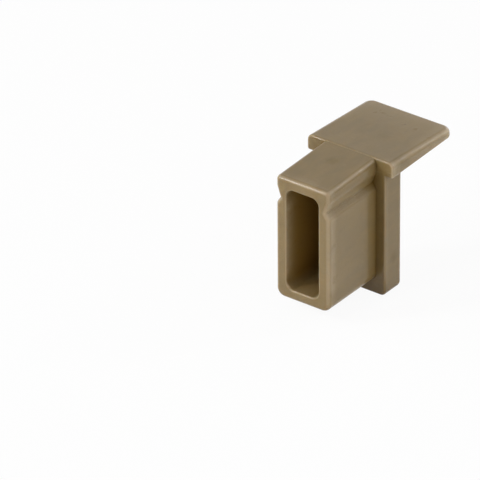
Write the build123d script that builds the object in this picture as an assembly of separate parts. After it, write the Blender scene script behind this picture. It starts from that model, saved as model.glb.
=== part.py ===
from build123d import *
import os

# End cap for a rectangular hollow profile, moulded in one piece.
# A hollow plug enters the profile, a flange closes its mouth and a cover
# plate on top of the flange reaches outwards past it.
# Millimetres, +Z up. The plug points along -Y, and the seating face of the
# flange and plate lies on y = 0. The origin is the middle of the plug's root.

# Plug
plug_width = 8.16
plug_height = 17.6
plug_length = 10.0
plug_top_fall = 0.34
plug_bottom_round = 1.2
plug_edge_round = 0.65

# Pocket in the free end of the plug
side_wall = 1.62
plug_wall = 1.52
pocket_depth = 10.0
pocket_corner_round = 1.05
pocket_floor_round = 0.5
mouth_round = 0.3
pocket_draft = 0.4

# Snap groove along both sides of the plug
crease_below_top = 3.4
groove_depth = 0.56
upper_flank_height = 1.6
lower_flank_height = 0.8
bead_round = 1.6
crease_round = 0.12
crest_round = 0.8

# Flange
flange_overlap = 1.42
flange_thickness = 3.87
flange_below_plug = 1.78
flange_side_round = 0.95
flange_bottom_round = 0.75

# Cover plate, a wedge whose top lies a hair above the plug's top
plate_overlap = 1.05
plate_length = 13.23
plate_step = 0.11
plate_root_thickness = 2.2
plate_tip_thickness = 1.24
plate_top_fall = 0.65
plate_side_draft = 0.03
plate_corner_round = 1.3
plate_top_round = 0.78
plate_bottom_round = 0.3

# Outline of the seating face
seat_round = 0.28

# Sizes that follow from those above
half_plug = plug_width / 2
plug_top = plug_height / 2
plug_bottom = -plug_top
half_flange = half_plug + flange_overlap
flange_bottom = plug_bottom - flange_below_plug
half_plate = half_flange + plate_overlap
half_plate_tip = half_plate - plate_side_draft
plate_top = plug_top + plate_step
plate_under = plate_top - plate_root_thickness
tip_top = plate_top - plate_top_fall
plate_slope = plate_top_fall / plate_length
tip_under = tip_top - plate_tip_thickness
crease_x = half_plug - groove_depth
crease_z = plug_top - crease_below_top
bead_z = crease_z + upper_flank_height
crest_z = crease_z - lower_flank_height
pocket_top = plug_top - plug_top_fall - plug_wall
pocket_bottom = plug_bottom + plug_wall
pocket_width = plug_width - 2 * side_wall
plug_root = min(1.0, flange_thickness / 2)
spare = 2.0


def nearest(corners, x, y):
    """Corner of a sketch that lies closest to a point of its plane."""
    return corners.sort_by_distance((x, y, 0))[0]


def plug_section():
    """Section of the plug in the XZ plane, open upwards past its top."""
    with BuildSketch(Plane.XZ) as section:
        with BuildLine():
            foot = Line((0, plug_bottom), (half_plug, plug_bottom))
            side = Line(foot @ 1, (half_plug, crest_z))
            flank = Line(side @ 1, (crease_x, crease_z))
            bead = Line(flank @ 1, (half_plug, bead_z))
            cheek = Line(bead @ 1, (half_plug, plug_top + spare))
            crown = Line(cheek @ 1, (0, plug_top + spare))
            Line(crown @ 1, (0, plug_bottom))
        make_face()
        fillet(nearest(section.vertices(), half_plug, plug_bottom), plug_bottom_round)
        fillet(nearest(section.vertices(), half_plug, crest_z), crest_round)
        fillet(nearest(section.vertices(), half_plug, bead_z), bead_round)
        fillet(nearest(section.vertices(), crease_x, crease_z), crease_round)
        mirror(about=Plane.YZ)
    return section.sketch


def side_view(points, width):
    """Prism across the whole width, with its outline given in the YZ plane."""
    outline = Plane.YZ * make_face(Polyline(*points, close=True))
    return extrude(outline, amount=width / 2, both=True)


def make_plug():
    """Plug with sloping top, snap grooves and a rounded free end."""
    tip = -plug_length
    slope = plug_top_fall / plug_length
    above = plug_top + slope * plug_root
    wide = plug_width + spare
    blank = extrude(Pos(0, plug_root, 0) * plug_section(), amount=plug_root - tip)
    under_top = side_view(
        [
            (plug_root, plug_bottom - spare),
            (tip, plug_bottom - spare),
            (tip, plug_top - plug_top_fall),
            (plug_root, above),
        ],
        wide,
    )
    blank = blank & under_top
    rim = blank.faces().sort_by(Axis.Y)[0].edges()
    for side in (-1, 1):
        rim += blank.edges().sort_by_distance((side * half_plug, 0, plug_top))[:1]
    blank = fillet(rim, plug_edge_round)
    under_plate = side_view(
        [
            (0, plug_top),
            (plug_root, plug_top - plate_slope * plug_root),
            (plug_root, above + spare),
            (0, above + spare),
        ],
        wide,
    )
    return blank - under_plate


def make_flange():
    """Flange that closes the profile's mouth."""
    top = (plate_top + plate_under) / 2
    height = top - flange_bottom
    flange = Pos(0, flange_thickness / 2, flange_bottom + height / 2) * Box(
        2 * half_flange, flange_thickness, height
    )
    outer = flange.edges().filter_by(Axis.Z).group_by(Axis.Y)[-1]
    flange = fillet(outer, flange_side_round)
    foot = flange.faces().sort_by(Axis.Z)[0]
    rim = [edge for edge in foot.edges() if edge.center().Y > seat_round]
    return fillet(rim, flange_bottom_round)


def make_plate():
    """Cover plate, a wedge that grows thinner towards its outer end."""
    wedge = side_view(
        [(0, plate_under), (plate_length, tip_under), (plate_length, tip_top), (0, plate_top)],
        2 * half_plate + spare,
    )
    with BuildSketch() as plan:
        with BuildLine():
            Polyline(
                (-half_plate, 0),
                (half_plate, 0),
                (half_plate_tip, plate_length),
                (-half_plate_tip, plate_length),
                close=True,
            )
        make_face()
        fillet(plan.vertices().group_by(Axis.Y)[-1], plate_corner_round)
    plate = wedge & extrude(plan.sketch, amount=2 * plug_height, both=True)
    top_face = plate.faces().sort_by(Axis.Z)[-1]
    rim = [edge for edge in top_face.edges() if edge.center().Y > seat_round]
    plate = fillet(rim, plate_top_round)
    under_face = plate.faces().sort_by(Axis.Z)[0]
    rim = [edge for edge in under_face.edges() if edge.center().Y > seat_round]
    return fillet(rim, plate_bottom_round)


def make_pocket():
    """Drafted core that leaves the pocket in the plug."""
    with BuildSketch(Plane.XZ.offset(plug_length)) as mouth:
        with Locations((0, (pocket_top + pocket_bottom) / 2)):
            RectangleRounded(pocket_width, pocket_top - pocket_bottom, pocket_corner_round)
    core = extrude(mouth.sketch, amount=-pocket_depth, taper=pocket_draft)
    floor = core.faces().sort_by(Axis.Y)[-1]
    return fillet(floor.edges(), pocket_floor_round)


head = make_flange() + make_plate()
seat = head.faces().filter_by(Axis.Y).sort_by(Axis.Y)[0]
head = fillet(seat.outer_wire().edges(), seat_round)
cap = head + make_plug() - make_pocket()
end_face = cap.faces().sort_by(Axis.Y)[0]
cap = fillet(end_face.inner_wires()[0].edges(), mouth_round)

os.makedirs("parts", exist_ok=True)
export_step(cap, "parts/end_cap.step")
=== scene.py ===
"""A moulded end cap for a hollow profile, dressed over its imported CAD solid.

The cap is one piece: a hollow plug, a flange that closes the profile's mouth
and a cover plate. It stands on the flange's foot on a plain pale floor.
Everything is in metres, in the frame of the CAD model.
"""

import logging
import math
from dataclasses import dataclass, field
from enum import Enum
from typing import Sequence

import bmesh
import bpy
from mathutils import Matrix, Vector


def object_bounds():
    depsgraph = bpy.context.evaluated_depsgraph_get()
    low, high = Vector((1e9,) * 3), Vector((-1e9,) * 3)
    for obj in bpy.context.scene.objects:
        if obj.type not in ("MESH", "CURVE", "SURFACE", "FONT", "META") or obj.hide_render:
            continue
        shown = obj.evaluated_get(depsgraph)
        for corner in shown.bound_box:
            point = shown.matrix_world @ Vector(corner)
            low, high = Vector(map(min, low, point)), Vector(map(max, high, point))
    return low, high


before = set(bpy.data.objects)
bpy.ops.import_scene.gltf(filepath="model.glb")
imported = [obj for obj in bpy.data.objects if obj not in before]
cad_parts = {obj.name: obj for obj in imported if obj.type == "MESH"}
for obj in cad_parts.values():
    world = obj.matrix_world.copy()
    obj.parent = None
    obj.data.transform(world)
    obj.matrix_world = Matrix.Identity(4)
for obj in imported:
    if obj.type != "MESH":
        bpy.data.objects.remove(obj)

CAD_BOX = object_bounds()
MM = 0.001

Triple = tuple[float, float, float]
Span = tuple[float, float]

log = logging.getLogger("end_cap")


class Ray(Enum):
    """Kinds of ray that see the white surroundings in place of their light."""

    CAMERA = "Is Camera Ray"
    GLOSSY = "Is Glossy Ray"
    TRANSMISSION = "Is Transmission Ray"


def linear(hex_colour: str) -> tuple[float, float, float, float]:
    """Turns a colour as it is written into the linear values that a shader takes.

    Args:
        hex_colour: an sRGB colour, such as "#857660".

    Returns:
        Red, green, blue and an alpha of 1.
    """
    digits = hex_colour.lstrip("#")
    channels = (int(digits[i:i + 2], 16) / 255 for i in (0, 2, 4))
    red, green, blue = (
        c / 12.92 if c <= 0.04045 else ((c + 0.055) / 1.055) ** 2.4 for c in channels
    )
    return red, green, blue, 1.0


def add_node(
    tree: bpy.types.NodeTree,
    kind: str,
    settings: dict | None = None,
    inputs: dict | None = None,
) -> bpy.types.Node:
    """Adds one node to a tree, with its settings and what feeds its sockets.

    Args:
        tree: the node tree that gets the node.
        kind: Blender's name for the type of node.
        settings: properties of the node itself, by name.
        inputs: a value or a socket to link from, by the name or place of the input.

    Returns:
        The new node.
    """
    node = tree.nodes.new(kind)
    for name, value in (settings or {}).items():
        setattr(node, name, value)
    for name, value in (inputs or {}).items():
        if isinstance(value, bpy.types.NodeSocket):
            tree.links.new(value, node.inputs[name])
        else:
            node.inputs[name].default_value = value
    return node


def direction(azimuth: float, elevation: float) -> Vector:
    """Finds the way from the cap to whatever stands round it.

    Args:
        azimuth: degrees round the cap: 0 is before the plug's free end and 90
            at the cap's right side.
        elevation: degrees above the floor.

    Returns:
        A direction of length 1.
    """
    turn, lift = math.radians(azimuth), math.radians(elevation)
    return Vector((
        math.sin(turn) * math.cos(lift),
        -math.cos(turn) * math.cos(lift),
        math.sin(lift),
    ))


@dataclass(frozen=True)
class Smudge:
    """A faint mark left by handling, at a place on the cap, in millimetres."""

    centre: Triple
    radius: float
    strength: float


@dataclass(frozen=True)
class MouldedPolyamide:
    """Satin injection-moulded polyamide, greige all through.

    Polyamide lets a little light in below its skin, so shadows on it have a
    soft border and its convex roundings, where that light comes out again, glow
    lighter and yellower than its faces; that glow is painted into the colour.
    A fine-eroded mould leaves the skin satin. Handling polishes the roundings,
    scuffs the faces and leaves a few smudges. Shade in the corners and grooves,
    and the brown of light bounced about in the pocket, are painted too.

    Colours are as written and lengths are in millimetres. A span gives where
    an effect starts and where it is full.
    """

    name: str = "satin_moulded_polyamide"
    body_colour: str = "#867149"
    flow_colour: str = "#7f6c48"
    # Painted glow on roundings and thin walls; this colour also pales the scuffs
    glow_and_scuff_colour: str = "#c8b698"
    # Painted shade in corners and grooves; this colour also colours the smudges
    corner_shade_and_smudge_colour: str = "#624806"
    speck_colour: str = "#5a4c35"
    # Painted brown shade inside the pocket
    pocket_shade_colour: str = "#856830"

    # The resin's gloss, and the light that passes below its skin
    ior: float = 1.53
    roughness: float = 0.34
    roughness_swing: float = 0.06
    blotches_per_mm: float = 0.8
    blotch_span: Span = (0.3, 0.7)
    edge_polish: float = 0.12
    scuff_dullness: float = 0.15
    specular_level: float = 0.18
    coat_weight: float = 0.26
    coat_roughness: float = 0.12
    scatter_weight: float = 0.75
    scatter_radius: Triple = (1.0, 0.72, 0.42)
    scatter_scale: float = 0.65

    # Flow marks, drawn out along the plug as the resin ran
    flow_length: float = 4.5
    flow_width: float = 1.6
    flow_distortion: float = 0.6
    flow_span: Span = (0.35, 0.68)

    # Painted glow of roundings, and of walls so thin that light comes through them
    edge_glow: float = 0.27
    rounding_span: Span = (0.95, 0.5)
    wall_glow: float = 0.8
    wall_reach: float = 2.0
    thin_span: Span = (0.6, 0.2)
    side_full: float = 0.6
    top_share: float = 0.3
    glow_openness: Span = (0.86, 0.98)

    # Painted shade, in the corners that look out on little of the room
    corner_shade_strength: float = 1.0
    openness_reach: float = 3.2
    corner_shade_span: Span = (0.72, 0.34)

    # Painted brown shade in the pocket: a box round it that stays clear of the outer skin
    pocket_middle: Triple = (0.0, -4.9, 0.0)
    pocket_half: Triple = (2.6, 5.0, 7.6)

    # Specks of foreign matter, in about half of the cells that they lie in
    speck_spacing: float = 2.6
    speck_radius: float = 0.05
    speck_border: float = 2.2
    speck_pick: Span = (0.5, 0.52)

    # Scuffs, drawn wider than a real hairline so that they show
    scuff_length: float = 1.6
    scuff_width: float = 0.07
    scuff_turn: Triple = (0.3, 0.5, 0.6)
    scuff_span: Span = (0.66, 0.74)
    scuff_patches_per_mm: float = 0.35
    scuff_patch_span: Span = (0.52, 0.64)
    scuff_paleness: float = 0.22

    # Smudges: two on the top of plug and plate, one on the flange's side
    smudges: Sequence[Smudge] = (
        Smudge((-0.2, -3.3, 8.7), 0.8, 0.3),
        Smudge((5.5, 1.9, -5.6), 0.7, 0.35),
        Smudge((1.6, 5.4, 8.6), 1.2, 0.15),
    )
    smudge_fray: float = 1.6
    smudge_border: float = 2.2
    frays_per_mm: float = 1.4

    # An eroded mould's grain is too fine to show, so it is drawn coarser
    grain: float = 0.16
    grain_height: float = 0.0012
    ripple: float = 1.8
    ripple_height: float = 0.0025

    # Rays with which a place looks about for other surfaces
    look_samples: int = 6

    def build(self) -> bpy.types.Material:
        """Makes the material.

        Returns:
            The new material.
        """
        material = bpy.data.materials.new(self.name)
        material.use_nodes = True
        tree = material.node_tree
        tree.nodes.clear()
        place = add_node(tree, "ShaderNodeTexCoord")
        facing = place.outputs["Normal"]
        spot = add_node(
            tree,
            "ShaderNodeVectorMath",
            settings={"operation": "SCALE"},
            inputs={0: place.outputs["Object"], "Scale": 1 / MM},
        ).outputs["Vector"]
        openness = self.openness(tree)
        # Mask of the painted glow on roundings and thin walls
        painted_glow = self.edge_light(tree, facing, openness)
        scuffs = self.scuffs(tree, spot)
        colour = self.colour(tree, spot, facing, openness, painted_glow, scuffs)
        shader = add_node(
            tree,
            "ShaderNodeBsdfPrincipled",
            inputs={
                "Base Color": colour,
                "Roughness": self.sheen(tree, spot, painted_glow, scuffs),
                "IOR": self.ior,
                "Specular IOR Level": self.specular_level,
                "Subsurface Weight": self.scatter_weight,
                "Subsurface Radius": self.scatter_radius,
                "Subsurface Scale": self.scatter_scale * MM,
                "Coat Weight": self.coat_weight,
                "Coat Roughness": self.coat_roughness,
                "Normal": self.skin(tree, spot),
            },
        )
        add_node(
            tree,
            "ShaderNodeOutputMaterial",
            inputs={"Surface": shader.outputs["BSDF"]},
        )
        return material

    def openness(self, tree: bpy.types.NodeTree) -> bpy.types.NodeSocket:
        """Finds how much of the room a place on the skin looks out on.

        Args:
            tree: the node tree of the material.

        Returns:
            A socket that is 1 on an open face and falls towards 0 in a corner.
        """
        return add_node(
            tree,
            "ShaderNodeAmbientOcclusion",
            settings={"samples": self.look_samples},
            inputs={"Distance": self.openness_reach * MM},
        ).outputs["AO"]

    def edge_light(
        self,
        tree: bpy.types.NodeTree,
        facing: bpy.types.NodeSocket,
        openness: bpy.types.NodeSocket,
    ) -> bpy.types.NodeSocket:
        """Finds where to paint the glow of light from two sides meeting, in roundings and
        thin walls.

        The cap's faces are square to its axes, so the fourth powers of the
        normal's parts add up to 1 on them and to less on the roundings. Thin
        walls get the most painted glow on the skin that faces sideways.

        Args:
            tree: the node tree of the material.
            facing: the normal of the skin.
            openness: how open each place on the skin is.

        Returns:
            A socket that is 0 on a face and rises towards 1 on an open edge.
        """
        squares = add_node(
            tree,
            "ShaderNodeVectorMath",
            settings={"operation": "MULTIPLY"},
            inputs={0: facing, 1: facing},
        ).outputs["Vector"]
        fourths = add_node(
            tree,
            "ShaderNodeVectorMath",
            settings={"operation": "DOT_PRODUCT"},
            inputs={0: squares, 1: squares},
        )
        turned = add_node(
            tree,
            "ShaderNodeMapRange",
            settings={"interpolation_type": "SMOOTHSTEP"},
            inputs={
                "Value": fourths.outputs["Value"],
                "From Min": self.rounding_span[0],
                "From Max": self.rounding_span[1],
            },
        )
        inward = add_node(
            tree,
            "ShaderNodeAmbientOcclusion",
            settings={"inside": True, "samples": self.look_samples},
            inputs={"Distance": self.wall_reach * MM},
        )
        thin = add_node(
            tree,
            "ShaderNodeMapRange",
            inputs={
                "Value": inward.outputs["AO"],
                "From Min": self.thin_span[0],
                "From Max": self.thin_span[1],
                "To Max": self.wall_glow,
            },
        )
        parts = add_node(tree, "ShaderNodeSeparateXYZ", inputs={"Vector": squares})
        side_on = add_node(
            tree,
            "ShaderNodeMapRange",
            inputs={
                "Value": parts.outputs["X"],
                "From Max": self.side_full,
                "To Min": self.top_share,
            },
        )
        side_lit = add_node(
            tree,
            "ShaderNodeMath",
            settings={"operation": "MULTIPLY"},
            inputs={0: thin.outputs["Result"], 1: side_on.outputs["Result"]},
        )
        lit = add_node(
            tree,
            "ShaderNodeMapRange",
            inputs={
                "Value": openness,
                "From Min": self.glow_openness[0],
                "From Max": self.glow_openness[1],
            },
        )
        glow = add_node(
            tree,
            "ShaderNodeMath",
            settings={"operation": "MULTIPLY_ADD", "use_clamp": True},
            inputs={
                0: turned.outputs["Result"],
                1: self.edge_glow,
                2: side_lit.outputs[0],
            },
        )
        return add_node(
            tree,
            "ShaderNodeMath",
            settings={"operation": "MULTIPLY"},
            inputs={0: glow.outputs[0], 1: lit.outputs["Result"]},
        ).outputs[0]

    def scuffs(
        self, tree: bpy.types.NodeTree, spot: bpy.types.NodeSocket
    ) -> bpy.types.NodeSocket:
        """Draws faint short scuffs in loose patches.

        Args:
            tree: the node tree of the material.
            spot: the place on the cap, in millimetres.

        Returns:
            A socket that is 1 in a scuff and 0 elsewhere.
        """
        across = 1 / self.scuff_width
        turned = add_node(
            tree,
            "ShaderNodeMapping",
            inputs={
                "Vector": spot,
                "Rotation": self.scuff_turn,
                "Scale": (1 / self.scuff_length, across, across),
            },
        )
        lines = add_node(
            tree,
            "ShaderNodeTexNoise",
            inputs={"Vector": turned.outputs["Vector"], "Scale": 1.0, "Detail": 1.0},
        )
        patches = add_node(
            tree,
            "ShaderNodeTexNoise",
            inputs={
                "Vector": spot,
                "Scale": self.scuff_patches_per_mm,
                "Detail": 1.0,
            },
        )
        fine = add_node(
            tree,
            "ShaderNodeMapRange",
            inputs={
                "Value": lines.outputs["Fac"],
                "From Min": self.scuff_span[0],
                "From Max": self.scuff_span[1],
            },
        )
        where = add_node(
            tree,
            "ShaderNodeMapRange",
            inputs={
                "Value": patches.outputs["Fac"],
                "From Min": self.scuff_patch_span[0],
                "From Max": self.scuff_patch_span[1],
            },
        )
        return add_node(
            tree,
            "ShaderNodeMath",
            settings={"operation": "MULTIPLY"},
            inputs={0: fine.outputs["Result"], 1: where.outputs["Result"]},
        ).outputs[0]

    def specks(
        self, tree: bpy.types.NodeTree, spot: bpy.types.NodeSocket
    ) -> bpy.types.NodeSocket:
        """Scatters a few dark specks of foreign matter through the resin.

        Args:
            tree: the node tree of the material.
            spot: the place on the cap, in millimetres.

        Returns:
            A socket that is 1 in a speck and 0 elsewhere.
        """
        cells = add_node(
            tree,
            "ShaderNodeTexVoronoi",
            inputs={"Vector": spot, "Scale": 1 / self.speck_spacing},
        )
        radius = self.speck_radius / self.speck_spacing
        near = add_node(
            tree,
            "ShaderNodeMapRange",
            inputs={
                "Value": cells.outputs["Distance"],
                "From Min": radius,
                "From Max": radius * self.speck_border,
                "To Min": 1.0,
                "To Max": 0.0,
            },
        )
        picked = add_node(
            tree,
            "ShaderNodeMapRange",
            inputs={
                "Value": cells.outputs["Color"],
                "From Min": self.speck_pick[0],
                "From Max": self.speck_pick[1],
            },
        )
        return add_node(
            tree,
            "ShaderNodeMath",
            settings={"operation": "MULTIPLY"},
            inputs={0: near.outputs["Result"], 1: picked.outputs["Result"]},
        ).outputs[0]

    def smudge_cover(
        self, tree: bpy.types.NodeTree, spot: bpy.types.NodeSocket
    ) -> bpy.types.NodeSocket:
        """Adds up the smudges, each with a ragged soft border.

        Args:
            tree: the node tree of the material.
            spot: the place on the cap, in millimetres.

        Returns:
            A socket with the share of the surface that they cover.
        """
        ragged = add_node(
            tree,
            "ShaderNodeTexNoise",
            inputs={
                "Vector": spot,
                "Scale": self.frays_per_mm,
                "Detail": 3.0,
                "Roughness": 0.6,
            },
        )
        total: bpy.types.NodeSocket | float = 0.0
        for smudge in self.smudges:
            away = add_node(
                tree,
                "ShaderNodeVectorMath",
                settings={"operation": "DISTANCE"},
                inputs={0: spot, 1: smudge.centre},
            )
            frayed = add_node(
                tree,
                "ShaderNodeMath",
                settings={"operation": "MULTIPLY_ADD"},
                inputs={
                    0: ragged.outputs["Fac"],
                    1: smudge.radius * self.smudge_fray,
                    2: away.outputs["Value"],
                },
            )
            cover = add_node(
                tree,
                "ShaderNodeMapRange",
                inputs={
                    "Value": frayed.outputs[0],
                    "From Min": smudge.radius,
                    "From Max": smudge.radius * self.smudge_border,
                    "To Min": smudge.strength,
                    "To Max": 0.0,
                },
            )
            total = add_node(
                tree,
                "ShaderNodeMath",
                settings={"operation": "ADD"},
                inputs={0: total, 1: cover.outputs["Result"]},
            ).outputs[0]
        return total

    def painted_pocket_shade(
        self,
        tree: bpy.types.NodeTree,
        spot: bpy.types.NodeSocket,
        facing: bpy.types.NodeSocket,
    ) -> bpy.types.NodeSocket:
        """Finds the pocket's skin, except where it faces up or down, for a painted brown
        shade.

        Light in there has bounced between the walls and passed through them,
        and loses its blue first. The lowest wall is lit from outside.

        Args:
            tree: the node tree of the material.
            spot: the place on the cap, in millimetres.
            facing: the normal of the skin.

        Returns:
            A socket that rises from 0 at the pocket's mouth to 1 inside.
        """
        parts = add_node(tree, "ShaderNodeSeparateXYZ", inputs={"Vector": spot})
        half_length = self.pocket_half[1]
        mouth = self.pocket_middle[1] - half_length
        deep = add_node(
            tree,
            "ShaderNodeMapRange",
            inputs={
                "Value": parts.outputs["Y"],
                "From Min": mouth,
                "From Max": mouth + half_length / 2,
            },
        )
        turned = add_node(tree, "ShaderNodeSeparateXYZ", inputs={"Vector": facing})
        levelness = add_node(
            tree,
            "ShaderNodeMath",
            settings={"operation": "MULTIPLY"},
            inputs={0: turned.outputs["Z"], 1: turned.outputs["Z"]},
        )
        upright = add_node(
            tree,
            "ShaderNodeMath",
            settings={"operation": "SUBTRACT"},
            inputs={0: 1.0, 1: levelness.outputs[0]},
        )
        cover = add_node(
            tree,
            "ShaderNodeMath",
            settings={"operation": "MULTIPLY"},
            inputs={0: deep.outputs["Result"], 1: upright.outputs[0]},
        ).outputs[0]
        for axis, middle, half in zip("XYZ", self.pocket_middle, self.pocket_half):
            within = add_node(
                tree,
                "ShaderNodeMath",
                settings={"operation": "COMPARE"},
                inputs={0: parts.outputs[axis], 1: middle, 2: half},
            )
            cover = add_node(
                tree,
                "ShaderNodeMath",
                settings={"operation": "MULTIPLY"},
                inputs={0: cover, 1: within.outputs[0]},
            ).outputs[0]
        return cover

    def flow_marks(
        self, tree: bpy.types.NodeTree, spot: bpy.types.NodeSocket
    ) -> bpy.types.NodeSocket:
        """Draws the faint streaks that the resin leaves as it fills the mould.

        Args:
            tree: the node tree of the material.
            spot: the place on the cap, in millimetres.

        Returns:
            A socket that is 1 in a streak and 0 between them.
        """
        across = 1 / self.flow_width
        stretched = add_node(
            tree,
            "ShaderNodeMapping",
            inputs={"Vector": spot, "Scale": (across, 1 / self.flow_length, across)},
        )
        streaks = add_node(
            tree,
            "ShaderNodeTexNoise",
            inputs={
                "Vector": stretched.outputs["Vector"],
                "Scale": 1.0,
                "Detail": 3.0,
                "Distortion": self.flow_distortion,
            },
        )
        return add_node(
            tree,
            "ShaderNodeMapRange",
            inputs={
                "Value": streaks.outputs["Fac"],
                "From Min": self.flow_span[0],
                "From Max": self.flow_span[1],
            },
        ).outputs["Result"]

    def colour(
        self,
        tree: bpy.types.NodeTree,
        spot: bpy.types.NodeSocket,
        facing: bpy.types.NodeSocket,
        openness: bpy.types.NodeSocket,
        painted_glow: bpy.types.NodeSocket,
        scuffs: bpy.types.NodeSocket,
    ) -> bpy.types.NodeSocket:
        """Lays what colours the resin over each other, from flow marks to scuffs, with
        painted glow on roundings and thin walls and painted shade in corners and in the
        pocket.

        Args:
            tree: the node tree of the material.
            spot: the place on the cap, in millimetres.
            facing: the normal of the skin.
            openness: how open each place on the skin is.
            painted_glow: where glow is painted, on roundings and thin walls.
            scuffs: where the scuffs are.

        Returns:
            A socket with the finished colour.
        """
        # Painted shade in the corners and grooves that look out on little of the room
        painted_corner_shade = add_node(
            tree,
            "ShaderNodeMapRange",
            inputs={
                "Value": openness,
                "From Min": self.corner_shade_span[0],
                "From Max": self.corner_shade_span[1],
                "To Min": 0.0,
                "To Max": self.corner_shade_strength,
            },
        )
        pale = add_node(
            tree,
            "ShaderNodeMath",
            settings={"operation": "MULTIPLY"},
            inputs={0: scuffs, 1: self.scuff_paleness},
        )
        # The glow, the pocket's brown and the corner shade are painted light and shade;
        # flow marks, smudges, specks and scuffs are the resin's own
        layers = (
            (self.flow_marks(tree, spot), self.flow_colour),
            (painted_glow, self.glow_and_scuff_colour),
            (self.painted_pocket_shade(tree, spot, facing), self.pocket_shade_colour),
            (painted_corner_shade.outputs["Result"], self.corner_shade_and_smudge_colour),
            (self.smudge_cover(tree, spot), self.corner_shade_and_smudge_colour),
            (self.specks(tree, spot), self.speck_colour),
            (pale.outputs[0], self.glow_and_scuff_colour),
        )
        colour: bpy.types.NodeSocket | tuple = linear(self.body_colour)
        for cover, paint in layers:
            colour = add_node(
                tree,
                "ShaderNodeMix",
                settings={"data_type": "RGBA", "clamp_factor": True},
                inputs={0: cover, 6: colour, 7: linear(paint)},
            ).outputs[2]
        return colour

    def sheen(
        self,
        tree: bpy.types.NodeTree,
        spot: bpy.types.NodeSocket,
        painted_glow: bpy.types.NodeSocket,
        scuffs: bpy.types.NodeSocket,
    ) -> bpy.types.NodeSocket:
        """Varies the roughness: polished on the roundings and thin walls, where glow is
        painted, dull in the scuffs.

        Args:
            tree: the node tree of the material.
            spot: the place on the cap, in millimetres.
            painted_glow: where glow is painted, on roundings and thin walls.
            scuffs: where the scuffs are.

        Returns:
            A socket with the roughness.
        """
        blotches = add_node(
            tree,
            "ShaderNodeTexNoise",
            inputs={"Vector": spot, "Scale": self.blotches_per_mm, "Detail": 3.0},
        )
        uneven = add_node(
            tree,
            "ShaderNodeMapRange",
            inputs={
                "Value": blotches.outputs["Fac"],
                "From Min": self.blotch_span[0],
                "From Max": self.blotch_span[1],
                "To Min": self.roughness - self.roughness_swing,
                "To Max": self.roughness + self.roughness_swing,
            },
        )
        rubbed = add_node(
            tree,
            "ShaderNodeMath",
            settings={"operation": "MULTIPLY_ADD"},
            inputs={0: painted_glow, 1: -self.edge_polish, 2: uneven.outputs["Result"]},
        )
        return add_node(
            tree,
            "ShaderNodeMath",
            settings={"operation": "MULTIPLY_ADD"},
            inputs={0: scuffs, 1: self.scuff_dullness, 2: rubbed.outputs[0]},
        ).outputs[0]

    def skin(
        self, tree: bpy.types.NodeTree, spot: bpy.types.NodeSocket
    ) -> bpy.types.NodeSocket:
        """Raises the mould's eroded grain over slight ripples from shrinkage.

        Args:
            tree: the node tree of the material.
            spot: the place on the cap, in millimetres.

        Returns:
            A socket with the surface's normal.
        """
        normal: bpy.types.NodeSocket | None = None
        for size, height in (
            (self.ripple, self.ripple_height),
            (self.grain, self.grain_height),
        ):
            relief = add_node(
                tree,
                "ShaderNodeTexNoise",
                inputs={"Vector": spot, "Scale": 1 / size, "Detail": 2.0},
            )
            feeds = {"Height": relief.outputs["Fac"], "Distance": height * MM}
            if normal is not None:
                feeds["Normal"] = normal
            normal = add_node(tree, "ShaderNodeBump", inputs=feeds).outputs["Normal"]
        return normal


@dataclass
class EndCap:
    """The cap itself: the CAD solid as packed, with its moulded skin."""

    node: str = "end_cap"
    finish: MouldedPolyamide = field(default_factory=MouldedPolyamide)

    def dress(self) -> bpy.types.Object:
        """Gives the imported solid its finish.

        Returns:
            The dressed object.
        """
        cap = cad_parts[self.node]
        cap.data.materials.clear()
        cap.data.materials.append(self.finish.build())
        return cap


@dataclass(frozen=True)
class SoftBox:
    """One square lamp that faces the cap from a direction, with its power in watts."""

    name: str
    azimuth: float
    elevation: float
    power: float
    size: float = 0.5
    distance: float = 0.7

    def build(self) -> bpy.types.Object:
        """Makes the lamp.

        Returns:
            The lamp object.
        """
        away = direction(self.azimuth, self.elevation)
        data = bpy.data.lights.new(f"soft_box_{self.name}", "AREA")
        data.shape = "SQUARE"
        data.size = self.size
        data.energy = self.power
        lamp = bpy.data.objects.new(data.name, data)
        lamp.location = away * self.distance
        lamp.rotation_mode = "QUATERNION"
        lamp.rotation_quaternion = away.to_track_quat("Z", "Y")
        bpy.context.scene.collection.objects.link(lamp)
        return lamp


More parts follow.
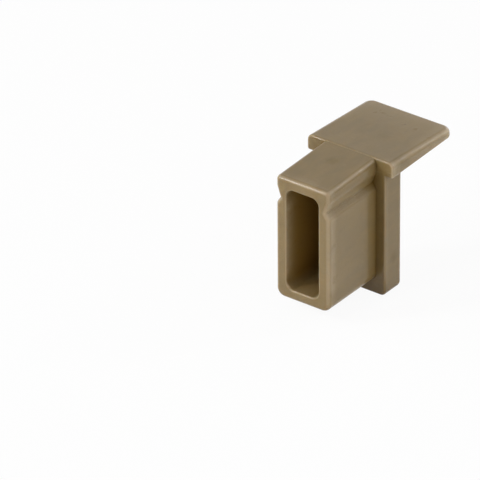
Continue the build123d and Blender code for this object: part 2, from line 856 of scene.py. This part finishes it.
@dataclass
class Studio:
    """Pale floor, white surroundings and soft light."""

    floor_level: float
    floor_radius: float = 3.0
    floor_sides: int = 96
    floor_colour: str = "#ffffff"
    floor_glow: float = 0.93
    sky_colour: str = "#ffffff"
    sky_strength: float = 0.08
    lamps: Sequence[SoftBox] = (
        SoftBox("key", -40.0, 36.0, 1.3, size=0.12),
        SoftBox("plug_end", -20.0, 10.0, 0.85, size=0.14),
        SoftBox("corner_glint", -12.0, 42.0, 0.7, size=0.1),
        SoftBox("right_rim", 143.6, 31.0, 0.6, size=0.14),
        SoftBox("right_low", 100.0, 10.0, 0.4, size=0.14),
        SoftBox("right_front", 55.0, 8.0, 0.85),
        SoftBox("right_front_above", 60.0, 35.0, 0.65),
        SoftBox("right_above", 100.0, 35.0, 0.48),
        SoftBox("left", -60.0, 35.0, 1.1),
        SoftBox("left_above", -40.0, 62.0, 0.1),
        SoftBox("behind_above", -160.0, 62.0, 0.36),
        SoftBox("behind_low", 175.0, 8.0, 1.3),
    )

    def lay_floor(self) -> bpy.types.Object:
        """Lays a round floor under the cap.

        Returns:
            The floor object.
        """
        mesh = bpy.data.meshes.new("floor")
        shape = bmesh.new()
        bmesh.ops.create_circle(
            shape, cap_ends=True, segments=self.floor_sides, radius=self.floor_radius
        )
        shape.to_mesh(mesh)
        shape.free()
        floor = bpy.data.objects.new("floor", mesh)
        floor.location.z = self.floor_level
        bpy.context.scene.collection.objects.link(floor)
        floor.data.materials.append(self.floor_finish())
        return floor

    def white_for(self, tree: bpy.types.NodeTree) -> bpy.types.NodeSocket:
        """Finds the rays that see white in place of light.

        Args:
            tree: the node tree that asks.

        Returns:
            A socket that is 1 for those rays and 0 for the rest.
        """
        path = add_node(tree, "ShaderNodeLightPath")
        seen = path.outputs[Ray.CAMERA.value]
        for ray in (Ray.GLOSSY, Ray.TRANSMISSION):
            seen = add_node(
                tree,
                "ShaderNodeMath",
                settings={"operation": "MAXIMUM"},
                inputs={0: seen, 1: path.outputs[ray.value]},
            ).outputs[0]
        return seen

    def floor_finish(self) -> bpy.types.Material:
        """Makes the matt white floor, which keeps a pale shadow of the cap.

        Returns:
            The new material.
        """
        material = bpy.data.materials.new("matt_white_floor")
        material.use_nodes = True
        tree = material.node_tree
        tree.nodes.clear()
        paper = add_node(
            tree,
            "ShaderNodeBsdfDiffuse",
            inputs={"Color": linear(self.floor_colour)},
        )
        white = add_node(
            tree,
            "ShaderNodeEmission",
            inputs={"Color": linear(self.floor_colour), "Strength": 1.0},
        )
        share = add_node(
            tree,
            "ShaderNodeMath",
            settings={"operation": "MULTIPLY"},
            inputs={0: self.white_for(tree), 1: self.floor_glow},
        )
        both = add_node(
            tree,
            "ShaderNodeMixShader",
            inputs={0: share.outputs[0], 1: paper.outputs[0], 2: white.outputs[0]},
        )
        add_node(
            tree,
            "ShaderNodeOutputMaterial",
            inputs={"Surface": both.outputs[0]},
        )
        return material

    def light_sky(self) -> bpy.types.World:
        """Lights the cap evenly from all round and shows white behind it.

        Returns:
            The new world.
        """
        world = bpy.data.worlds.new("white_surroundings")
        world.use_nodes = True
        tree = world.node_tree
        tree.nodes.clear()
        strength = add_node(
            tree,
            "ShaderNodeMix",
            settings={"data_type": "FLOAT"},
            inputs={0: self.white_for(tree), 2: self.sky_strength, 3: 1.0},
        )
        sky = add_node(
            tree,
            "ShaderNodeBackground",
            inputs={
                "Color": linear(self.sky_colour),
                "Strength": strength.outputs[0],
            },
        )
        add_node(tree, "ShaderNodeOutputWorld", inputs={"Surface": sky.outputs[0]})
        bpy.context.scene.world = world
        return world

    def build(self) -> None:
        """Sets up the floor, the surroundings and the lamps."""
        log.info("floor laid: %s", self.lay_floor().name)
        log.info("surroundings lit: %s", self.light_sky().name)
        for lamp in self.lamps:
            log.info("lamp placed: %s", lamp.build().name)


@dataclass(frozen=True)
class PhotographCamera:
    """A long lens that looks down on the cap as the photograph does.

    root_in_view is where the middle of the plug's root, at root_height above
    the frame's origin, lies in the camera's own axes: right, up and back.
    Lengths are in metres, but for the lens and sensor, and angles in degrees.
    """

    azimuth: float = 37.07
    elevation: float = 30.44
    roll: float = -0.453
    lens_mm: float = 487.28
    sensor_mm: float = 36.0
    root_in_view: Triple = (0.013590, 0.011249, -0.80618)
    root_height: float = 0.00885
    clip: Span = (0.01, 100.0)

    def build(self) -> bpy.types.Object:
        """Makes the camera and shows the scene through it.

        Returns:
            The camera object.
        """
        turn, tilt = math.radians(self.azimuth), math.radians(self.roll)
        back = direction(self.azimuth, self.elevation)
        level = Vector((math.cos(turn), math.sin(turn), 0))
        over = back.cross(level)
        right = level * math.cos(tilt) + over * math.sin(tilt)
        up = over * math.cos(tilt) - level * math.sin(tilt)
        x, y, z = self.root_in_view
        root = Vector((0, 0, self.root_height))
        eye = root - (right * x + up * y + back * z)
        axes = Matrix((right, up, back)).transposed()
        data = bpy.data.cameras.new("photograph_camera")
        data.lens = self.lens_mm
        data.sensor_width = self.sensor_mm
        data.clip_start, data.clip_end = self.clip
        camera = bpy.data.objects.new(data.name, data)
        camera.matrix_world = Matrix.Translation(eye) @ axes.to_4x4()
        bpy.context.scene.collection.objects.link(camera)
        bpy.context.scene.camera = camera
        return camera


def main() -> None:
    """Dresses the cap, then sets up the studio and the camera round it."""
    logging.basicConfig(level=logging.INFO, format="%(name)s: %(message)s")
    log.info("cap dressed: %s", EndCap().dress().name)
    Studio(floor_level=CAD_BOX[0].z).build()
    log.info("camera placed: %s", PhotographCamera().build().name)
    bpy.context.scene.view_settings.view_transform = "Standard"


if __name__ == "__main__":
    main()
